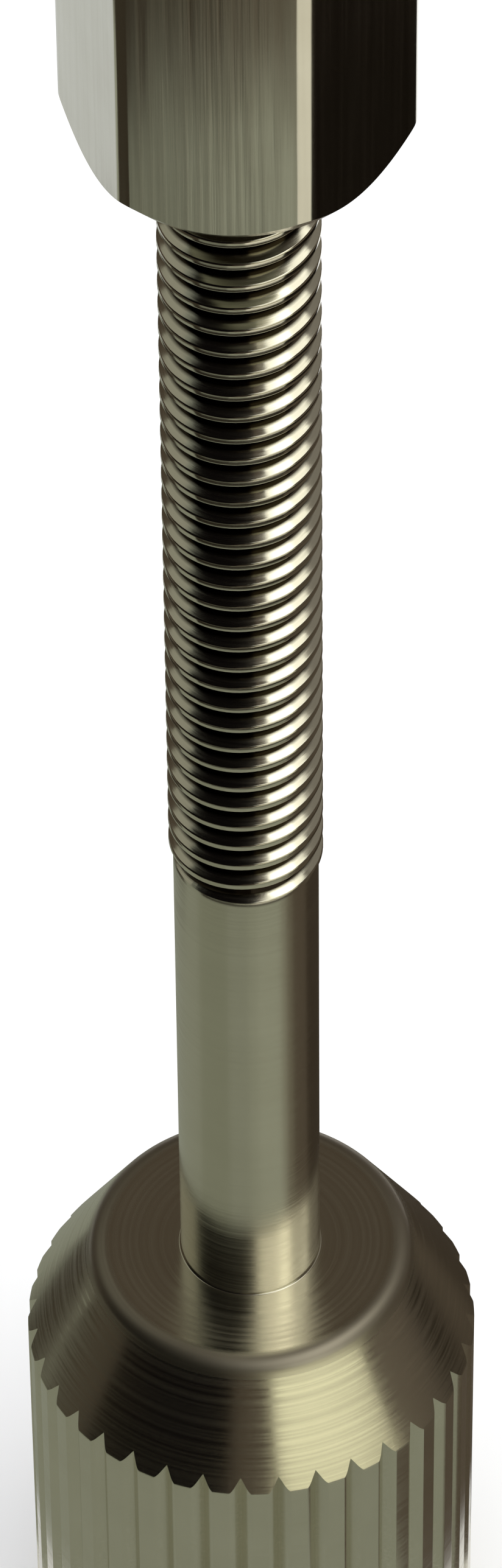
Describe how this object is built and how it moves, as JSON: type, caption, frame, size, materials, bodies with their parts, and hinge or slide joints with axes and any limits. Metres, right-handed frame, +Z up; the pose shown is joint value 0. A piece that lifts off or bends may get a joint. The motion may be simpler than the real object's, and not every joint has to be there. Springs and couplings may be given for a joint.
{
  "type": "hoop screw",
  "caption": "Nickel-plated hoop screw: a knurled thumb knob with a cone shoulder, plain shank and fine thread, and a long hexagonal nut on the thread's end that clamps the hoop's lugs.",
  "frame": {"origin": "centre of the knob's flat end, on which the screw stands", "axes": "+Z up the screw's axis from the knob to the tip, -Y out of one flat of the nut"},
  "size_m": [0.0126, 0.0126, 0.0747],
  "materials": {
    "screw_nickel": "turned steel under satin nickel plate",
    "nut_nickel": "drawn hexagon bar under satin nickel plate"
  },
  "bodies": {
    "screw": {"thumb_screw": "screw_nickel"},
    "nut": {"hex_nut": "nut_nickel"}
  },
  "joints": [
    {"name": "nut_travel", "type": "slide", "parent": "screw", "child": "nut", "axis": [0, 0, 1], "range_m": [-0.02699, 0.0127]}
  ]
}
